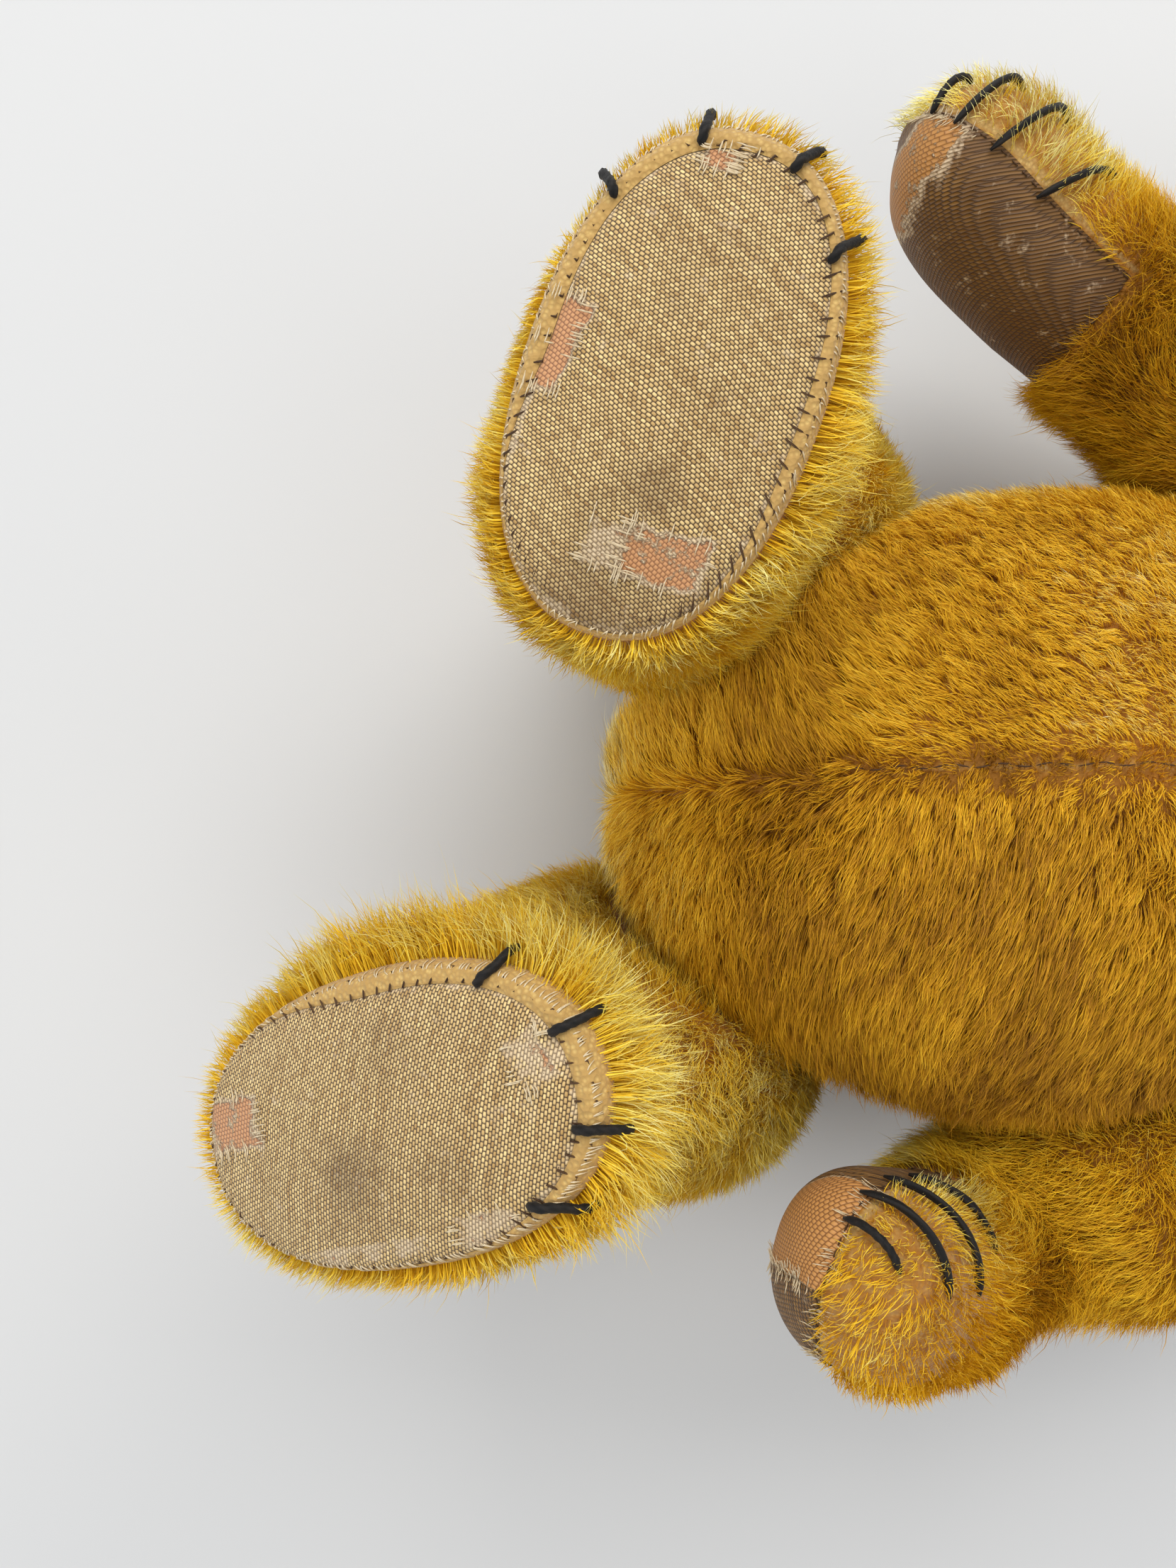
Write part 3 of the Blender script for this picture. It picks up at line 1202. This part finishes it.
# ---------------------------------------------------------------- head
# The muzzle is a cone with a round end; it points up and, by this turn, a little to the feet
MUZZLE_TILT = 90 + 8
MUZZLE = np.array([0, 25, 32.0])
MUZZLE_R, MUZZLE_END_R, MUZZLE_LEN = 19.5, 15.5, 16
EAR_R, EAR_BACK_R, EAR_FRONT_R = 15.8, 26, 21


def lathe(profile, m):
    """A grid turned about Y from (radius, y) points."""
    a = np.arange(m) / m * 2 * np.pi
    return np.array([[[r * math.cos(t), y, r * math.sin(t)] for t in a] for r, y in profile])


def muzzle_grid(at):
    cone = [(MUZZLE_R - 4.0 * y / MUZZLE_LEN, y) for y in np.linspace(-8, MUZZLE_LEN, 13)]
    dome = [(MUZZLE_END_R * math.cos(t), MUZZLE_LEN + MUZZLE_END_R * math.sin(t))
            for t in np.linspace(0.12, 1.50, 16)]
    return turn(lathe(cone + dome, 72), (MUZZLE_TILT, 0, 0)) + MUZZLE + at


def build_head():
    at = SHIFT + [0, TORSO_LEN + GAP, TORSO_MID]
    p = rings(refine(HEAD, 6), 112)
    p[..., 2] = np.maximum(p[..., 2], -TORSO_MID + PRESSED_PILE)
    p = p + at
    normal = grid_normals(p)
    muzzle = muzzle_grid(at)
    nose = muzzle[-1].mean(0)
    nap = 0.62 * unit(p - nose) + 0.25 * wave_field(p, 22, 70)
    under_muzzle = norm((p - (MUZZLE + at))[..., :2]) < 17.5
    under_muzzle &= p[..., 2] > at[2] + 20
    eyes = np.zeros(p.shape[:2])
    for s in (-1, 1):
        eyes = np.maximum(eyes, smooth((8.5 - norm(p - (at + [s * 17, 47, 36.4]))) / 3))
    density = np.where(under_muzzle, 0.02, 1.0) * (1 - 0.9 * eyes)
    density = density * np.where(p[..., 1] < at[1] + 1.5, 0.2, 1.0)
    length = (6.6 + 0.6 * wave_noise(p, 24, 31)) * (1 - 0.5 * smooth((30 - norm(p - nose)) / 20))
    length = length * (1 - 0.5 * eyes)
    length = np.where(normal[..., 2] < LYING, 4.0, length)
    tone = 5.8 + 1.2 * smooth((0.5 - normal[..., 2]) / 0.8) + 0.8 * wave_noise(p, 26, 32)
    skin = mohair_skin("head_cloth", p, 0 * eyes)
    cloth_piece(skin, "head", ["head_side_left", "head_side_right", "head_gusset", "head_stuffing"])
    fur("head_pile", "head", p, 110000, density, length, nap, tone, width=0.19, lock=2.2,
        clump=0.5, lift=0.62)
    build_muzzle(muzzle, nose)
    for s, side in ((1, "left"), (-1, "right")):
        build_ear(side, s, at)


def build_muzzle(p, nose):
    from_nose = norm(p - nose)
    skin = mohair_skin("head_muzzle_cloth", p, smooth((13 - from_nose) / 6) * 0.5)
    cloth_piece(skin, "head", [])
    length = 2.2 + 2.6 * smooth((from_nose - 12) / 14)
    density = smooth((norm(p - (nose + [0, 3, -2])) - 8.5) / 3) + 0.02
    fur("head_muzzle_pile", "head", p, 26000, density, length, 0.6 * unit(p - nose),
        5.4 + 0.6 * wave_noise(p, 20, 34), width=0.24, lock=2.0, clump=0.35)


def build_ear(side, s, at):
    """A shallow cup, its front and its back in one skin; s is 1 on the left and -1 on the right."""
    back = [(r, -math.sqrt(EAR_BACK_R ** 2 - r ** 2)) for r in np.linspace(0.5, EAR_R, 14)]
    inner_r = EAR_R - 0.4
    front = [(r, -math.sqrt(EAR_FRONT_R ** 2 - r ** 2)) for r in np.linspace(inner_r, 0.5, 14)]
    middle = ((back[-1][0] + front[0][0]) / 2, (back[-1][1] + front[0][1]) / 2)
    half = (front[0][1] - back[-1][1]) / 2
    rim = [(middle[0] + 1.4 * math.cos(t), middle[1] + half * math.sin(t))
           for t in np.linspace(-1.2, 1.2, 7)]
    p = lathe(back + rim + front, 80)[..., [0, 2, 1]]
    p = turn(p, (-8, s * 14, 0)) + [s * 37, 66, 22] + at
    skin = mohair_skin("ear_" + side + "_cloth", p, np.zeros(p.shape[:2]))
    cloth_piece(skin, "head", ["ear_" + side])
    rows = np.arange(len(p))[:, None] + np.zeros(p.shape[1])
    nap = 0.5 * unit(p - p[:14].mean((0, 1)))
    fur("ear_" + side + "_pile", "head", p, 22000, np.ones(p.shape[:2]),
        np.where(rows > 20, 3.0, 5.4), nap, 5.2 + 0.5 * wave_noise(p, 16, 36),
        width=0.26, lock=2.2, clump=0.4)


# ---------------------------------------------------------------- carried-over CAD nodes
def dress_cad():
    for node, o in frame["nodes"].items():
        if o.hide_render:
            continue
        if node.endswith("disc"):
            mat = FIBRE
        elif node.endswith(("washer", "pin")):
            mat = STEEL
        elif node.startswith("eye"):
            mat = GLASS
        else:
            mat = BLACK_THREAD
        o.data.materials.clear()
        o.data.materials.append(mat)


# ---------------------------------------------------------------- floor, light, camera
def add_lamp(name, where, size, power, colour):
    """A soft box that points at the bear."""
    light = bpy.data.lights.new(name, "AREA")
    light.shape = "RECTANGLE"
    light.size, light.size_y = size
    light.energy = power
    light.color = colour
    lamp = bpy.data.objects.new(name, light)
    lamp.location = where
    lamp.rotation_mode = "QUATERNION"
    lamp.rotation_quaternion = (Vector((0, 0, 0.04)) - Vector(where)).to_track_quat("-Z", "Y")
    bpy.context.scene.collection.objects.link(lamp)


def build_stage():
    g = Graph("pale_paper")
    big = g.noise(2.2, 2.0)
    fine = g.noise(420.0, 4.0)
    base = g.mix(big, srgb(198, 200, 203), srgb(209, 207, 204))
    g.finish(Base_Color=base, Roughness=0.62, Normal=g.bump(fine, 0.00004, 0.4),
             Specular_IOR_Level=0.3)
    steps = np.linspace(-6.0, 6.0, 25) / MM
    x, y = np.meshgrid(steps, steps, indexing="ij")
    grid_mesh("floor_surface", np.stack([x, y, 0 * x], -1), [g.mat], wrap=False)

    add_lamp("window", (-0.75, 0.10, 0.85), (1.1, 0.7), 10.5, (1.0, 0.985, 0.96))
    add_lamp("sky_side", (0.05, -0.95, 0.75), (0.9, 0.9), 5.2, (0.93, 0.965, 1.0))
    add_lamp("room", (0.7, 0.4, 1.0), (1.2, 1.2), 4.4, (1.0, 0.95, 0.87))
    world = bpy.data.worlds.new("room_light")
    world.use_nodes = True
    background = world.node_tree.nodes["Background"]
    background.inputs["Color"].default_value = (0.91, 0.95, 1.0, 1)
    background.inputs["Strength"].default_value = 0.52
    bpy.context.scene.world = world
    bpy.context.scene.view_settings.view_transform = "Standard"


def build_camera():
    """Straight down on the belly from above the crotch, with the feet to the left."""
    cam = bpy.data.cameras.new("camera")
    cam.sensor_width = 36
    cam.lens = 27.03
    cam.dof.use_dof = False
    cam.clip_start = 0.01
    o = bpy.data.objects.new("camera", cam)
    tilt = math.radians(-0.5)
    right, up = Vector((0, math.cos(tilt), math.sin(tilt))), Vector((-1, 0, 0))
    turned = Matrix((right, up, right.cross(up))).transposed().to_4x4()
    where = SHIFT * MM + np.array([-0.0036, -0.0047, 0.2558])
    o.matrix_world = Matrix.Translation(Vector(where)) @ turned
    bpy.context.scene.collection.objects.link(o)
    bpy.context.scene.camera = o


build_torso()
for hip in ("left_hip", "right_hip"):
    build_leg(hip)
for shoulder in ("left_shoulder", "right_shoulder"):
    build_arm(shoulder)
build_head()
dress_cad()
build_stage()
build_camera()
